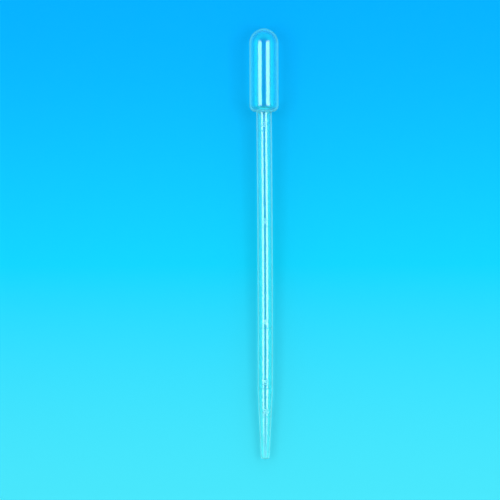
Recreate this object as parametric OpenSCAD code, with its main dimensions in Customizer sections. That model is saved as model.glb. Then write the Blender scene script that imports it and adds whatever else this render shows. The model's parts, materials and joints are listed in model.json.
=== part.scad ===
// Dropper pipette: squeeze bulb, graduated stem and tapered tip, blow-moulded in one piece.
// It is drawn upright along its own axis, with the mouth at zero and the crown of the bulb on top.
// Then it is laid down as it comes to rest, on the shoulder of the bulb and the top of the taper,
// with the graduations facing up and the two parting lines level at its sides.

/* [Overall] */
// Length from the mouth to the crown of the bulb
length = 180; // [150:0.5:220]

/* [Bulb] */
// Outer diameter of the bulb
bulb_d = 12; // [10:0.1:16]
// Length of the bulb, from its crown to the neck
bulb_len = 34.7; // [28:0.1:45]
// Wall of the straight part of the bulb
bulb_wall = 0.5; // [0.35:0.05:0.8]
// Wall at the crown, where the blown tube was closed
crown_wall = 0.9; // [0.5:0.05:1.5]
// Thickness of the floor of the bulb, round the neck
floor_wall = 0.8; // [0.75:0.05:3]
// Outer round of the shoulder
shoulder_round = 2.6; // [1:0.1:3.5]
// Fillet between the shoulder and the stem
neck_fillet = 0.25; // [0.2:0.05:0.5]
// Inner round between the floor of the bulb and the bore of the stem
throat_round = 0.7; // [0.3:0.1:1]

/* [Stem] */
// Outer diameter of the stem
stem_d = 6.25; // [5:0.05:7.5]
// Wall of the stem
stem_wall = 0.4; // [0.3:0.05:0.8]

/* [Tip] */
// Length of the taper, from the mouth to the straight stem
taper_len = 28; // [20:0.5:40]
// Outer diameter at the mouth
tip_d = 3.5; // [3:0.05:4.5]
// Bore at the mouth
tip_bore = 2.7; // [2:0.05:2.8]
// Straight length of the bore inside the mouth
tip_land = 3; // [1:0.5:6]

/* [Graduations] */
// Heights of the lines above the mouth, for 0.25, 0.5, 1, 2 and 3 ml
line_heights = [17.5, 29.6, 54.9, 97.1, 137.3];
// How far a line stands proud of the wall
line_proud = 0.12; // [0.05:0.01:0.18]
// Radius of the round section of a line
line_round = 0.25; // [0.2:0.01:0.3]
// How far round the front a line reaches, in degrees
line_arc = 130; // [60:5:160]

/* [Mould marks] */
// Width of the parting lines down both sides
parting_w = 0.3; // [0.2:0.05:0.5]
// How far the parting lines stand proud of the wall
parting_proud = 0.08; // [0.05:0.01:0.15]
// Length of the pinch-off bead across the crown
pinch_len = 6; // [3:0.5:8]
// Width of the pinch-off bead
pinch_w = 0.7; // [0.5:0.05:1]
// How far the pinch-off bead stands proud of the crown
pinch_proud = 0.18; // [0.16:0.01:0.3]

/* [Hidden] */

$fn = 96;
// Overshoot of a cut past the face that it opens
past = 1;

bulb_r = bulb_d / 2;
stem_r = stem_d / 2;
tip_r = tip_d / 2;

// Outside, upwards from the mouth
neck_s = length - bulb_len;
shoulder_r = min(shoulder_round, bulb_r - stem_r - neck_fillet);
shoulder_s = neck_s + shoulder_r;
dome_s = length - pinch_proud - bulb_r;

// Inside
cavity_r = bulb_r - bulb_wall;
bore_r = stem_r - stem_wall;
mouth_r = tip_bore / 2;
floor_s = neck_s + floor_wall;
floor_round = min(shoulder_r, cavity_r - bore_r - throat_round);
cavity_dome_s = length - pinch_proud - crown_wall - cavity_r;

// Outer radius of the stem or the taper at a height above the mouth
function wall_r(s) = s < taper_len ? tip_r + (stem_r - tip_r) * s / taper_len : stem_r;

// The lines that the stem has room for, below the neck
stem_lines = [for (s = line_heights) if (s + line_round < neck_s - neck_fillet) s];

// How far the crown has fallen away at either end of the bead
crown_fall = bulb_r - sqrt(pow(bulb_r, 2) - pow(pinch_len / 2, 2));
// How much tighter the bead's arc is than the crown's, so that it runs out into it at both ends
bead_shift = pinch_proud * (2 * bulb_r + pinch_proud) / (2 * (pinch_proud + crown_fall));

// Angle of rest: the line that touches the shoulder round and a lower corner of the outline.
// The pipette rests on the corner that gives the flatter line.
function rest_angle(r, s) = atan2(bulb_r - shoulder_r - r, shoulder_s - s)
    + asin(shoulder_r / norm([bulb_r - shoulder_r - r, shoulder_s - s]));
lie = min(rest_angle(tip_r, 0), rest_angle(stem_r, taper_len));
lift = (bulb_r - shoulder_r) * cos(lie) + shoulder_r - shoulder_s * sin(lie);

// Both ends along the ground, for an origin halfway between them
mouth_y = -tip_r * sin(lie);
crown_y = dome_s * cos(lie) + (bulb_r + pinch_proud) * cos(lie) + pinch_w / 2 * sin(lie);
middle_y = (mouth_y + crown_y) / 2;

// A quarter of a disc, filling the corner between a centre and two directions
module quarter_disc(r, x_side, s_side) {
    intersection() {
        circle(r = r);
        translate([x_side < 0 ? -r : 0, s_side < 0 ? -r : 0])
            square(r);
    }
}

// What a concave round of radius r leaves in a square corner whose point is at the origin
module fillet_corner(r, x_side, s_side) {
    difference() {
        translate([x_side < 0 ? -r : 0, s_side < 0 ? -r : 0])
            square(r);
        translate([x_side * r, s_side * r])
            circle(r = r);
    }
}

// Half outline of the outside, grown evenly by the height of a mark that stands proud of it
module outer_outline(grow = 0) {
    translate([0, dome_s])
        quarter_disc(bulb_r + grow, 1, 1);
    translate([0, shoulder_s])
        square([bulb_r + grow, dome_s - shoulder_s]);
    translate([0, neck_s - grow])
        square([bulb_r - shoulder_r, shoulder_r + grow]);
    translate([bulb_r - shoulder_r, shoulder_s])
        quarter_disc(shoulder_r + grow, 1, -1);
    translate([stem_r + grow, neck_s - grow])
        fillet_corner(neck_fillet - grow, 1, -1);
    translate([0, taper_len])
        square([stem_r + grow, neck_s - taper_len]);
    polygon([[0, 0], [tip_r + grow, 0], [stem_r + grow, taper_len], [0, taper_len]]);
}

// Half outline of the hollow, from the mouth to the inside of the crown
module cavity_outline() {
    translate([0, cavity_dome_s])
        quarter_disc(cavity_r, 1, 1);
    translate([0, floor_s + floor_round])
        square([cavity_r, cavity_dome_s - floor_s - floor_round]);
    translate([0, floor_s])
        square([cavity_r - floor_round, floor_round]);
    translate([cavity_r - floor_round, floor_s + floor_round])
        quarter_disc(floor_round, 1, -1);
    translate([bore_r, floor_s])
        fillet_corner(throat_round, 1, -1);
    translate([0, taper_len])
        square([bore_r, floor_s - taper_len]);
    polygon([[0, tip_land], [mouth_r, tip_land], [bore_r, taper_len], [0, taper_len]]);
    translate([0, -past])
        square([mouth_r, tip_land + past]);
}

// A raised line round the front of the stem
module graduation(s) {
    rotate([0, 0, -90 - line_arc / 2])
        rotate_extrude(angle = line_arc)
            translate([wall_r(s) + line_proud - line_round, s])
                circle(r = line_round);
}

// The fine ridge where the halves of the mould met, down both sides and over the crown
module parting_line() {
    rotate([90, 0, 0])
        linear_extrude(height = parting_w, center = true) {
            outer_outline(parting_proud);
            mirror([1, 0])
                outer_outline(parting_proud);
        }
}

// The wider bead where the mould pinched the crown shut, highest in the middle
module pinch_off() {
    rotate([90, 0, 0])
        linear_extrude(height = pinch_w, center = true)
            translate([0, dome_s + bead_shift])
                circle(r = bulb_r + pinch_proud - bead_shift);
}

// The whole moulding, upright on its own axis
module moulding() {
    difference() {
        union() {
            rotate_extrude()
                outer_outline();
            parting_line();
            pinch_off();
            for (s = stem_lines)
                graduation(s);
        }
        rotate_extrude()
            cavity_outline();
    }
}

module pipette() {
    color([0.84, 0.93, 0.97, 0.6])
        translate([0, -middle_y, lift])
            rotate([lie - 90, 0, 0])
                moulding();
}

pipette();
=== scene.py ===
"""Looks of a plastic dropper pipette: one clear, slightly milky moulding lying on blue card.

The moulding is a closed mesh turned round the pipette's axis, outside and hollow in one. It stands for
the CAD node. Lengths on the moulding are in millimetres, with s the height above the mouth, r the radius
and theta the angle round the axis, which is zero where the graduations face up and a quarter turn at the
parting line on +X.
"""
import json
import math

import bpy
import numpy as np
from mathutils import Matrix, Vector


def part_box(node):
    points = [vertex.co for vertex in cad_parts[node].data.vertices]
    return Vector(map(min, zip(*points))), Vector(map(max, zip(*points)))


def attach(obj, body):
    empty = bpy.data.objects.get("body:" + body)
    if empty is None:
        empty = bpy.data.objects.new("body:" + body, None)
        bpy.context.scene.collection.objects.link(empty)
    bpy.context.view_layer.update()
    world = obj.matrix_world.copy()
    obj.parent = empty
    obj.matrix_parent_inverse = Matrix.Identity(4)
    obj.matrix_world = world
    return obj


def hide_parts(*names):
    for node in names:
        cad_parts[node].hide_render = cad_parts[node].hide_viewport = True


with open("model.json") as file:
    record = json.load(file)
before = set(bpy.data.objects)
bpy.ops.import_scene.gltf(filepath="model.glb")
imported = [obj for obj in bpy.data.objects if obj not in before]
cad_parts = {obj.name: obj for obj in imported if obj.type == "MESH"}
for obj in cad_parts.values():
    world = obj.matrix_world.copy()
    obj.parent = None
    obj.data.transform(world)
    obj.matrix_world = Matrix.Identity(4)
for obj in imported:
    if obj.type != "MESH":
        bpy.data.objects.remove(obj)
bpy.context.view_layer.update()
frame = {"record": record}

MM = 0.001
NODE = "pipette"
MOUNTS = {mount["name"]: mount for mount in frame["record"]["mounts"]}


# ---------------------------------------------------------------- sizes from the frame

def mount_end(mount, side):
    """An end of a mount's length, in metres: side 1 is where its axis points, -1 the other end."""
    half = mount["dims"]["length_mm"] / 2 * MM
    return Vector(mount["pos_m"]) + side * half * Vector(mount["axis"])


UP_STEM = -Vector(MOUNTS["mouth"]["axis"]).normalized()     # from the mouth towards the bulb
SIDE = Vector((1, 0, 0))
FRONT = SIDE.cross(UP_STEM)                                 # where the graduations face
MOUTH = mount_end(MOUNTS["mouth"], 1)


def height_of(point):
    """Height of a point above the mouth, along the axis, in millimetres."""
    return (point - MOUTH).dot(UP_STEM) / MM


BOX_LOW, BOX_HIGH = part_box(NODE)
STEM_R = MOUNTS["stem"]["dims"]["r_mm"]
MOUTH_R = MOUNTS["mouth"]["dims"]["r_mm"]
LAND = MOUNTS["mouth"]["dims"]["length_mm"]                 # straight bore inside the mouth
TAPER = height_of(mount_end(MOUNTS["stem"], 1))             # top of the taper
NECK_FILLET = 0.25                                          # between the stem and the shoulder
NECK = height_of(mount_end(MOUNTS["stem"], -1)) + NECK_FILLET

# ---------------------------------------------------------------- sizes of the moulding

PARTING_W = 0.30
PARTING_PROUD = 0.08
PINCH_LEN = 6.0                                             # the pinch-off bead across the crown
PINCH_W = 0.7
PINCH_PROUD = 0.18

LENGTH = 180.0
BULB_R = BOX_HIGH.x / MM - PARTING_PROUD
DOME = LENGTH - PINCH_PROUD - BULB_R                        # centre of the crown's dome
SHOULDER_R = 2.6
SHOULDER = NECK + SHOULDER_R                                # where the round of the shoulder ends
TIP_R = 1.75
LIP_R = 0.12                                                # round on both edges of the mouth
BOW = 0.28                                                  # how far the stem bows to the right midway

BULB_WALL = 0.5
STEM_WALL = 0.4
CROWN_WALL = 0.9
FLOOR_WALL = 0.8
CAVITY_R = BULB_R - BULB_WALL
BORE_R = STEM_R - STEM_WALL
THROAT_R = 0.7                                              # round between the bore and the bulb's floor
FLOOR = NECK + FLOOR_WALL
FLOOR_R = CAVITY_R - BORE_R - THROAT_R                      # round between that floor and the wall
CAVITY_DOME = LENGTH - PINCH_PROUD - CROWN_WALL - CAVITY_R

GRADUATIONS = {"3": 137.3, "2": 97.1, "1": 54.9, ".5": 29.6, ".25": 17.5}    # number: height of its line
LINE_HALF = 0.24
LINE_PROUD = 0.12
LINE_ARC = 130.0                                            # how far round the stem, in degrees
LINE_END = 0.3                                              # length over which its ends run out
NUMBER_H = 1.7
NUMBER_W = 2.7                                              # the widest that a number may be
NUMBER_RISE = 1.7                                           # its foot above its line
STROKE_HALF = 0.18
STROKE_PROUD = 0.15

OUTER_WAVES = {"size": 0.003, "lengths": (23, 37, 61), "seed": 1}
INNER_WAVES = {"size": 0.008, "lengths": (19, 31, 53), "seed": 2}
CALM_R = 3                                                  # the waves die out nearer to the axis
CALM_S = 5                                                  # and nearer to the mouth


# ---------------------------------------------------------------- outline

def even_steps(low, high, step):
    """Numbers from low to high, evenly spaced by step or a little less, without the last one."""
    count = max(1, math.ceil((high - low) / step))
    return [low + (high - low) * i / count for i in range(count)]


def line_points(start, end, step):
    """Points along a line, without its last one."""
    start, end = np.array(start, float), np.array(end, float)
    count = max(1, math.ceil(np.linalg.norm(end - start) / step))
    return [tuple(start + (end - start) * i / count) for i in range(count)]


def arc_points(centre, radius, start, end, step):
    """Points along an arc between two angles in degrees, without its last one."""
    count = max(2, math.ceil(math.radians(abs(end - start)) * radius / step))
    angles = [math.radians(start + (end - start) * i / count) for i in range(count)]
    return [(centre[0] + radius * math.cos(a), centre[1] + radius * math.sin(a)) for a in angles]


def marked_heights(low, high, step):
    """Heights from low to high: close together over each line and number, wide apart between."""
    line_step, number_step, margin = 0.05, 0.07, 0.12
    spans = []
    for line in GRADUATIONS.values():
        spans.append((line - LINE_HALF - margin, line + LINE_HALF + margin, line_step))
        foot = line + NUMBER_RISE
        spans.append((foot - STROKE_HALF - margin, foot + NUMBER_H + STROKE_HALF + margin, number_step))
    heights, at = [], low
    for start, end, close_step in sorted(spans):
        heights += even_steps(at, start, step)
        heights += list(np.arange(start, end - close_step / 2, close_step))
        at = end
    return heights + even_steps(at, high, step)


def wall_r(s):
    """Outer radius of the taper or the stem."""
    return TIP_R + (STEM_R - TIP_R) * min(s / TAPER, 1)


def outside():
    """Outline of the outside, from the crown down to the lip of the mouth."""
    points = arc_points((0, DOME), BULB_R, 90, 0, step=0.3)
    points += line_points((BULB_R, DOME), (BULB_R, SHOULDER), step=1.2)
    points += arc_points((BULB_R - SHOULDER_R, SHOULDER), SHOULDER_R, 0, -90, step=0.22)
    points += arc_points((STEM_R + NECK_FILLET, NECK - NECK_FILLET), NECK_FILLET, 90, 180, step=0.07)
    heights = marked_heights(LIP_R, NECK - NECK_FILLET, step=1.5)
    return points + [(wall_r(s), s) for s in reversed(heights)]


def lip():
    """Outline of the blunt end, with both edges broken."""
    points = arc_points((TIP_R - LIP_R, LIP_R), LIP_R, 0, -90, step=0.04)
    points += line_points((TIP_R - LIP_R, 0), (MOUTH_R + LIP_R, 0), step=0.1)
    return points + arc_points((MOUTH_R + LIP_R, LIP_R), LIP_R, -90, -180, step=0.04)


def inside():
    """Outline of the hollow, from the lip up to the inside of the crown."""
    points = line_points((MOUTH_R, LIP_R), (MOUTH_R, LAND), step=0.8)
    points += line_points((MOUTH_R, LAND), (BORE_R, TAPER), step=1.5)
    points += line_points((BORE_R, TAPER), (BORE_R, FLOOR - THROAT_R), step=1.7)
    points += arc_points((BORE_R + THROAT_R, FLOOR - THROAT_R), THROAT_R, 180, 90, step=0.12)
    points += arc_points((CAVITY_R - FLOOR_R, FLOOR + FLOOR_R), FLOOR_R, -90, 0, step=0.22)
    points += line_points((CAVITY_R, FLOOR + FLOOR_R), (CAVITY_R, CAVITY_DOME), step=1.2)
    return points + arc_points((0, CAVITY_DOME), CAVITY_R, 0, 90, step=0.45) + [(0, CAVITY_DOME + CAVITY_R)]


def columns():
    """Angles round the axis in degrees: close at the front and at the parting lines."""
    front, front_step = 37.4, 1.1
    parting, parting_step = 8.0, 0.8
    side_columns, back_columns = 10, 16
    slack = 0.01                                            # keeps the last step of a range in it
    half = list(np.arange(0, front + slack, front_step))
    half += list(np.linspace(half[-1], 90 - parting, side_columns + 1)[1:])
    half += list(np.arange(90 - parting + parting_step, 90 + parting + slack, parting_step))
    half += list(np.linspace(half[-1], 180, back_columns + 1)[1:])
    return np.array([-a for a in half[-2:0:-1]] + half)


# ---------------------------------------------------------------- numbers, as strokes one unit tall

def line_stroke(ax, ay, bx, by):
    """Distance from each point to a straight stroke."""
    def distance(x, y):
        dx, dy = bx - ax, by - ay
        along = np.clip(((x - ax) * dx + (y - ay) * dy) / (dx * dx + dy * dy), 0, 1)
        return np.hypot(x - ax - along * dx, y - ay - along * dy)
    return distance


def arc_stroke(cx, cy, radius, start, end):
    """Distance from each point to an arc that turns clockwise from start to end, in degrees."""
    def to_tip(x, y, angle):
        return np.hypot(x - cx - radius * np.cos(angle), y - cy - radius * np.sin(angle))

    def distance(x, y):
        turned = np.mod(start - np.degrees(np.arctan2(y - cy, x - cx)), 360)
        on_arc = np.abs(np.hypot(x - cx, y - cy) - radius)
        off_arc = np.minimum(to_tip(x, y, np.radians(start)), to_tip(x, y, np.radians(end)))
        return np.where(turned <= start - end, on_arc, off_arc)
    return distance


def dot_stroke(x0, y0):
    """Distance from each point to a dot."""
    return lambda x, y: np.hypot(x - x0, y - y0)


# Each figure: its width and its strokes
FIGURES = {
    "1": (0.34, [line_stroke(0.22, 0, 0.22, 1), line_stroke(0.22, 1, 0, 0.80)]),
    "2": (0.58, [arc_stroke(0.29, 0.71, 0.29, 170, -35), line_stroke(0.528, 0.544, 0, 0),
                 line_stroke(0, 0, 0.58, 0)]),
    "3": (0.56, [arc_stroke(0.27, 0.75, 0.25, 150, -90), arc_stroke(0.27, 0.25, 0.28, 90, -150)]),
    "5": (0.58, [line_stroke(0.52, 1, 0.08, 1), line_stroke(0.08, 1, 0.03, 0.53),
                 arc_stroke(0.28, 0.31, 0.31, 140, -150)]),
    ".": (0.10, [dot_stroke(0.04, 0.02)]),
}
FIGURE_GAP = 0.24
FIGURE_STRETCH = 1.25                                       # how much wider than drawn, where there is room


def number_distance(number, x, y):
    """Distance from each point to the strokes of a number centred on x = 0 and standing on y = 0.
    A short number is drawn wide, and a long one as narrow as its place on the stem needs."""
    width = sum(FIGURES[figure][0] for figure in number) + FIGURE_GAP * (len(number) - 1)
    x = x / min(FIGURE_STRETCH, NUMBER_W / NUMBER_H / width)
    at = -width / 2
    nearest = np.full(np.broadcast(x, y).shape, np.inf)
    for figure in number:
        figure_width, strokes = FIGURES[figure]
        for stroke in strokes:
            nearest = np.minimum(nearest, stroke(x - at, y))
        at += figure_width + FIGURE_GAP
    return nearest


# ---------------------------------------------------------------- relief on the outside

def swell(distance, half):
    """A rounded ridge, 1 in the middle and 0 from half on, with soft feet."""
    t = np.clip(1 - np.abs(distance) / half, 0, 1)
    return t * t * (3 - 2 * t)


def flat_ridge(distance, half):
    """A ridge with a flat top and a rounded fall over the outer part of its half width."""
    falling = 0.6
    t = np.clip((1 - np.abs(distance) / half) / falling, 0, 1)
    return t * t * (3 - 2 * t)


def pinch_bead(r, s, theta):
    """Height of the pinch-off bead, whose arc is tighter than the crown's and runs out into it: shift
    is how much tighter, and fall how far the crown has fallen away where the bead ends."""
    fall = BULB_R - math.sqrt(BULB_R ** 2 - (PINCH_LEN / 2) ** 2)
    shift = PINCH_PROUD * (2 * BULB_R + PINCH_PROUD) / (2 * (PINCH_PROUD + fall))
    sine = np.clip(r * np.abs(np.sin(theta)) / BULB_R, 0, 1)
    reach = np.sqrt((BULB_R + PINCH_PROUD - shift) ** 2 - (shift * sine) ** 2)
    bead = np.maximum(shift * np.sqrt(1 - sine ** 2) + reach - BULB_R, 0)
    return np.where(s > DOME, bead * flat_ridge(r * np.cos(theta), PINCH_W / 2), 0)


def mould_marks(r, s, theta):
    """Height of the parting lines and of the pinch-off bead."""
    parting = PARTING_PROUD * flat_ridge(r * np.cos(theta), PARTING_W / 2)
    return np.maximum(parting, pinch_bead(r, s, theta))


def graduation_marks(r, s, theta):
    """Height of the raised lines and numbers, and how frosted each point is by them, from 0 to 1."""
    line_foot, stroke_foot = 1.25, 1.3                      # how much wider each is at its foot
    line_frost = 0.2
    number_reach = math.radians(60)                         # beyond any number, round the stem
    height = frost = 0 * s * theta
    line_end = np.clip((math.radians(LINE_ARC / 2) - np.abs(theta)) * r / LINE_END, 0, 1)
    for number, line in GRADUATIONS.items():
        ridge = swell(s - line, LINE_HALF * line_foot) * np.sqrt(line_end)
        foot = line + NUMBER_RISE
        stroke = number_distance(number, r * theta / NUMBER_H, (s - foot) / NUMBER_H) * NUMBER_H
        letters = np.where(np.abs(theta) < number_reach, flat_ridge(stroke, STROKE_HALF * stroke_foot), 0)
        height = np.maximum(height, np.maximum(LINE_PROUD * ridge, STROKE_PROUD * letters))
        frost = np.maximum(frost, np.maximum(line_frost * ridge, letters))
    return height, frost


def waves(s, theta, size, lengths, seed):
    """Slow waves of a blown wall, the same every run: a few sines along it and round it. The numbers
    only keep the sines out of step."""
    total = 0 * s * theta
    for i, length in enumerate(lengths):
        phase = seed * 1.7 + i * 2.4
        lobes = 1 + (i + seed) % 3
        total = total + np.sin(2 * math.pi * s / length + phase) * np.cos(lobes * theta + phase * 1.3)
    return size * total / len(lengths)


# ---------------------------------------------------------------- the mesh

def normals_of(outline):
    """Unit normals of an outline that starts and ends on the axis and has its solid on the right."""
    dr, ds = np.gradient(outline[:, 0]), np.gradient(outline[:, 1])
    size = np.hypot(dr, ds)
    nr, ns = -ds / size, dr / size
    nr[0], ns[0] = 0, 1
    nr[-1], ns[-1] = 0, -1
    return nr[:, None], ns[:, None]


def placed(r, s, theta):
    """Points in metres on the pipette as it lies, with its stem bowed to the side."""
    bow = BOW * np.sin(math.pi * np.clip(s / NECK, 0, 1))
    parts = (s, UP_STEM), (r * np.cos(theta), FRONT), (r * np.sin(theta) + bow, SIDE)
    along, up, across = (np.multiply.outer(value, np.array(direction)) for value, direction in parts)
    return np.array(MOUTH) + MM * (along + up + across)


def moulding_points():
    """Points of the moulding in metres, one row for each point of its outline, and the values that its
    material reads, each from 0 to 1: frost on the marks, milk towards the tip, inner on the wall of the
    hollow, and bulb from the neck up."""
    milk_power = 0.7                                        # milk rises fast below the top of the taper
    outer, end, inner = outside(), lip(), inside()
    outline = np.array(outer + end + inner)
    theta = np.radians(columns())[None, :]
    r, s = outline[:, :1], outline[:, 1:]
    row = np.arange(len(outline))[:, None]
    is_outer = row < len(outer)
    is_inner = row >= len(outer) + len(end)
    marks, frost = graduation_marks(r, s, theta)
    calm = np.clip(r / CALM_R, 0, 1) * np.clip(s / CALM_S, 0, 1)
    height = np.where(is_outer, np.maximum(marks, mould_marks(r, s, theta)), 0)
    height = height + np.where(is_outer, calm * waves(s, theta, **OUTER_WAVES), 0)
    height = height + np.where(is_inner, calm * waves(s, theta, **INNER_WAVES), 0)
    nr, ns = normals_of(outline)
    values = {"frost": np.where(is_outer, frost, 0),
              "milk": np.clip(1 - s / TAPER, 0, 1) ** milk_power + 0 * theta,
              "inner": is_inner + 0 * theta,
              "bulb": np.clip((s - NECK) / SHOULDER_R, 0, 1) + 0 * theta}
    return placed(r + nr * height, s + ns * height, theta), values


def grid_mesh(name, points, values):
    """A closed mesh from rows of points, whose first and last rows are one point each, with a value of
    each kind for every point."""
    rows, across = points.shape[:2]

    def listed(grid):
        """Every point of a grid once, in the order of the mesh."""
        return [grid[0, 0], *grid[1:-1].reshape(-1, *grid.shape[2:]), grid[-1, 0]]

    def index(row, column):
        """Place of a point in that order."""
        return 1 + (row - 1) * across + column % across

    last = 1 + (rows - 2) * across
    faces = [(0, index(1, c), index(1, c + 1)) for c in range(across)]
    for row in range(1, rows - 2):
        faces += [(index(row, c), index(row + 1, c), index(row + 1, c + 1), index(row, c + 1))
                  for c in range(across)]
    faces += [(index(rows - 2, c), last, index(rows - 2, c + 1)) for c in range(across)]
    mesh = bpy.data.meshes.new(name)
    mesh.from_pydata([tuple(p) for p in listed(points)], [], faces)
    for kind, grid in values.items():
        mesh.attributes.new(kind, "FLOAT", "POINT").data.foreach_set("value", listed(grid))
    mesh.update()
    mesh.shade_smooth()
    return mesh


# ---------------------------------------------------------------- node trees

class Tree:
    """The node tree of a material or a world. What adds a node gives what comes out of it."""

    def __init__(self, owner):
        owner.use_nodes = True
        self.nodes = owner.node_tree.nodes
        self.links = owner.node_tree.links

    def new(self, kind):
        """A new node, by its kind's short name."""
        return self.nodes.new("ShaderNode" + kind)

    def link(self, output, socket):
        """Feeds a socket from a node's output."""
        self.links.new(output, socket)

    def attribute(self, name):
        """A value that the mesh holds for each point."""
        node = self.new("Attribute")
        node.attribute_name = name
        return node.outputs["Fac"]

    def math(self, operation, *values):
        """The result of an operation on outputs and plain numbers."""
        node = self.new("Math")
        node.operation = operation
        for socket, value in zip(node.inputs, values):
            if isinstance(value, (int, float)):
                socket.default_value = value
            else:
                self.link(value, socket)
        return node.outputs[0]

    def map_range(self, value, before, after, kind="LINEAR"):
        """A value mapped from one pair of limits to another, and held at the ends."""
        node = self.new("MapRange")
        node.interpolation_type = kind
        for name, limit in zip(("From Min", "From Max", "To Min", "To Max"), (*before, *after)):
            node.inputs[name].default_value = limit
        self.link(value, node.inputs["Value"])
        return node.outputs[0]

    def ramp(self, value, *stops):
        """The colour at a value, between stops of a position and a colour."""
        node = self.new("ValToRGB")
        elements = node.color_ramp.elements
        for element, (position, colour) in zip(elements, (stops[0], stops[-1])):
            element.position, element.color = position, colour
        for position, colour in stops[1:-1]:
            elements.new(position).color = colour
        self.link(value, node.inputs[0])
        return node.outputs[0]

    def noise(self, size_mm, stretch=1, detail=2):
        """Noise with lumps of that size, drawn out along the pipette by stretch."""
        place, scale, node = self.new("TexCoord"), self.new("Mapping"), self.new("TexNoise")
        per_metre = 1 / (size_mm * MM)
        scale.inputs["Scale"].default_value = (per_metre, per_metre / stretch, per_metre)
        node.inputs["Scale"].default_value = 1
        node.inputs["Detail"].default_value = detail
        self.link(place.outputs["Object"], scale.inputs["Vector"])
        self.link(scale.outputs[0], node.inputs["Vector"])
        return node.outputs["Fac"]


def new_material(name):
    """A material, its node tree and the inputs of its surface shader."""
    material = bpy.data.materials.new(name)
    tree = Tree(material)
    return material, tree, tree.nodes["Principled BSDF"].inputs


# ---------------------------------------------------------------- materials

NOISE_RANGE = 0.3, 0.7                                      # where nearly all of a noise node's values lie
# Painted light: the colourless plastic is tinted cyan for the blue light of the card that it shows and
# scatters
STEM_TINT_PAINTED_BLUE = (0.47, 1.0, 0.98, 1)
BULB_TINT_PAINTED_BLUE = (0.30, 1.0, 1.0, 1)                             # painted light: more of the blue of the card round it than on the stem
STEM_SHARE = 0.96                                           # light that passes straight through a wall
BULB_SHARE = 0.99
FLOOR_TIP_PAINTED_LIGHTER = (0.085, 0.74, 0.83, 1)                          # blue card, painted lighter and aqua at the tip as if lit more there
FLOOR_MIDDLE = (0.007, 0.62, 0.87, 1)
FLOOR_BULB_PAINTED_DARKER = (0.001, 0.40, 0.92, 1)                         # and painted darker and azure at the bulb


def clearness(tree, clouds, bulb):
    """Share of the light that the plastic lets through. It scatters more where it is seen edge on,
    because the way through the wall is longer there, and towards the tip and on the marks. The wall of
    the hollow is clearer, and so is the whole bulb."""
    facing = tree.new("LayerWeight").outputs["Facing"]
    wall = tree.map_range(facing, (0.28, 0.88), (0.99, 0.25), "SMOOTHSTEP")
    hollow = tree.math("MULTIPLY", tree.attribute("inner"), tree.map_range(bulb, (0, 1), (0.96, 1.0)))
    clear = tree.math("MAXIMUM", wall, hollow)
    stem = tree.math("SUBTRACT", 1, bulb)
    for value, loss in ((tree.attribute("milk"), 0.12), (stem, 0.03),
                        (tree.attribute("frost"), 0.45), (clouds, 0.015)):
        clear = tree.math("SUBTRACT", clear, tree.math("MULTIPLY", value, loss))
    return clear


def drawn_lines(tree):
    """Fine lines along the moulding, left from the tube that it was blown from."""
    bump = tree.new("Bump")
    bump.inputs["Strength"].default_value = 0.20
    bump.inputs["Distance"].default_value = 0.01 * MM
    tree.link(tree.noise(0.5, stretch=40, detail=3), bump.inputs["Height"])
    return bump.outputs[0]


def let_light_through(tree, bulb):
    """Passes the light on its way to a matt surface straight through each wall: nearly all of it where
    the wall is met flat on, and none where it is met edge on."""
    facing = tree.new("LayerWeight").outputs["Facing"]
    flat_on = tree.map_range(facing, (0.38, 0.80), (1.0, 0.0))
    share = tree.map_range(bulb, (0, 1), (STEM_SHARE, BULB_SHARE))
    clear = tree.new("BsdfTransparent")
    tree.link(tree.math("MULTIPLY", share, flat_on), clear.inputs["Color"])
    path = tree.new("LightPath").outputs
    mix = tree.new("MixShader")
    tree.link(tree.math("MAXIMUM", path["Is Shadow Ray"], path["Is Diffuse Ray"]), mix.inputs[0])
    tree.link(tree.nodes["Principled BSDF"].outputs[0], mix.inputs[1])
    tree.link(clear.outputs[0], mix.inputs[2])
    tree.link(mix.outputs[0], tree.nodes["Material Output"].inputs["Surface"])


def polyethylene():
    """Natural low-density polyethylene: clear to slightly milky, with a waxy gloss, frosted on the raised
    marks, and cloudy in slow patches. Its cyan tint is painted light: the blue of the card round it,
    painted into the colour of colourless plastic."""
    material, tree, surface = new_material("natural_polyethylene")
    bulb = tree.attribute("bulb")
    clouds = tree.map_range(tree.noise(4.0, stretch=3), NOISE_RANGE, (0, 1))
    grain = tree.map_range(tree.noise(0.35), NOISE_RANGE, (0.06, 0.12))
    shade = tree.math("MULTIPLY_ADD", bulb, 0.75, tree.math("MULTIPLY", clouds, 0.25))
    surface["IOR"].default_value = 1.65
    tree.link(clearness(tree, clouds, bulb), surface["Transmission Weight"])
    tree.link(tree.math("MULTIPLY_ADD", tree.attribute("frost"), 0.5, grain), surface["Roughness"])
    # painted light: the stem and bulb tints are the card's blue painted into the plastic's colour
    tree.link(tree.ramp(shade, (0, STEM_TINT_PAINTED_BLUE), (1, BULB_TINT_PAINTED_BLUE)), surface["Base Color"])
    tree.link(drawn_lines(tree), surface["Normal"])
    let_light_through(tree, bulb)
    return material


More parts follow.
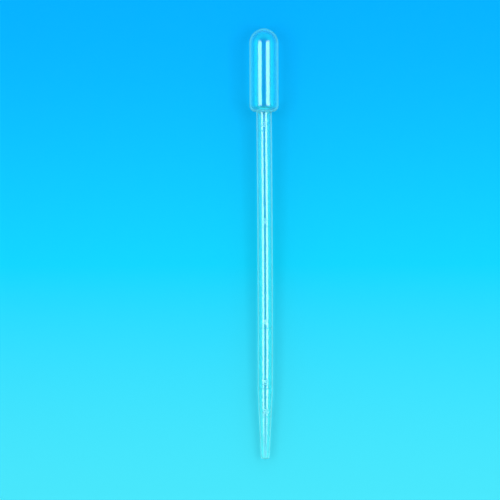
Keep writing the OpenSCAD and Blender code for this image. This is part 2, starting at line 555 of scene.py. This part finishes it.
def floor_paint():
    """Smooth blue card with a painted fall of light along the pipette: painted lighter and aqua at the tip,
    darker and azure at the bulb.
    """
    half_length = 0.13
    material, tree, surface = new_material("floor_paint")
    split = tree.new("SeparateXYZ")
    tree.link(tree.new("TexCoord").outputs["Object"], split.inputs[0])
    along = tree.map_range(split.outputs["Y"], (-half_length, half_length), (0, 1), "SMOOTHSTEP")
    # painted light: the card's colour is painted lighter towards the tip, as if lit more there
    colour = tree.ramp(along, (0, FLOOR_TIP_PAINTED_LIGHTER), (0.45, FLOOR_MIDDLE), (1, FLOOR_BULB_PAINTED_DARKER))
    tree.link(colour, surface["Base Color"])
    tree.link(tree.map_range(tree.noise(6), NOISE_RANGE, (0.85, 0.95)), surface["Roughness"])
    surface["Specular IOR Level"].default_value = 0.05
    return material


# ---------------------------------------------------------------- scene

def add_object(name, data):
    """A new object in the scene, which shows data."""
    thing = bpy.data.objects.new(name, data)
    bpy.context.collection.objects.link(thing)
    return thing


def make_pipette():
    """The whole moulding, which stands for the CAD node."""
    mesh = grid_mesh("pipette_moulding", *moulding_points())
    mesh.materials.append(polyethylene())
    piece = add_object("pipette_moulding", mesh)
    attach(piece, "root")
    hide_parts(NODE)


def make_floor():
    """The card, far wider than any view of the pipette."""
    half = 3.0
    corners = [(x * half, y * half, 0) for x, y in ((-1, -1), (1, -1), (1, 1), (-1, 1))]
    mesh = bpy.data.meshes.new("floor")
    mesh.from_pydata(corners, [], [(0, 1, 2, 3)])
    mesh.materials.append(floor_paint())
    floor = add_object("floor", mesh)


def make_strip(name, side, near, far, power):
    """A long soft box beside the pipette, parallel to it and facing it, on +X where side is 1. near and
    far are the angles from the vertical, in degrees, at which the pipette sees its two edges."""
    height, length = 0.8, 0.68
    middle = math.radians((near + far) / 2)
    distance = height / math.cos(middle)
    light = bpy.data.lights.new(name, "AREA")
    light.shape = "RECTANGLE"
    light.size = 2 * distance * math.tan(math.radians((far - near) / 2))
    light.size_y = length
    light.energy = power
    lamp = add_object(name, light)
    lamp.location = (side * distance * math.sin(middle), 0, distance * math.cos(middle))
    lamp.rotation_euler = (0, side * middle, 0)


def make_lights():
    """Two soft boxes, whose reflections are the two long highlights."""
    make_strip("strip_right", 1, near=17, far=46, power=4.2)
    make_strip("strip_left", -1, near=19, far=47, power=3.65)


WALLS_LIGHT = (0.32, 0.98, 1.16, 1)                         # the studio as it lights things
CEILING_LIGHT = (0.04, 0.05, 0.06, 1)
WALLS_SEEN = (0.06, 1.60, 1.60, 1)                          # and as it is seen, in gloss too
CEILING_SEEN = (0.01, 0.20, 1.10, 1)


def studio(tree, height, walls, ceiling):
    """Colour of the studio from the floor up: the blue backdrop, bright walls and a dark ceiling."""
    return tree.ramp(height, (0.0, FLOOR_MIDDLE), (0.10, walls), (0.50, walls), (0.78, ceiling))


def make_world():
    """A studio whose blue backdrop runs up from the floor into the walls, under a dark ceiling. The light
    that it gives is cooler than that of the two soft boxes, and what is seen of it in gloss and through
    the plastic is the blue of the backdrop."""
    world = bpy.data.worlds.new("studio")
    tree = Tree(world)
    split = tree.new("SeparateXYZ")
    tree.link(tree.new("TexCoord").outputs["Generated"], split.inputs[0])
    height = split.outputs["Z"]
    path = tree.new("LightPath").outputs
    seen = tree.math("MAXIMUM", path["Is Camera Ray"], path["Is Glossy Ray"])
    seen = tree.math("MAXIMUM", seen, path["Is Transmission Ray"])
    mix = tree.new("MixRGB")
    tree.link(seen, mix.inputs[0])
    tree.link(studio(tree, height, WALLS_LIGHT, CEILING_LIGHT), mix.inputs[1])
    tree.link(studio(tree, height, WALLS_SEEN, CEILING_SEEN), mix.inputs[2])
    tree.link(mix.outputs[0], tree.nodes["Background"].inputs["Color"])
    bpy.context.scene.world = world


def make_camera():
    """Straight above, with the pipette a little right of the middle and above it, as photographed."""
    lens, sensor = 100.0, 36.0
    view_width = 0.2088
    distance = view_width * lens / sensor
    roll = math.radians(-0.20)
    offset = Vector((-0.006055, -0.002443, 0))
    data = bpy.data.cameras.new("camera")
    data.lens, data.sensor_width = lens, sensor
    camera = add_object("camera", data)
    camera.location = (BOX_LOW + BOX_HIGH) / 2 + offset + Vector((0, 0, distance))
    camera.rotation_euler = (0, 0, roll)
    bpy.context.scene.camera = camera


bpy.context.scene.view_settings.view_transform = "Standard"
make_camera()
make_floor()
make_world()
make_lights()
make_pipette()
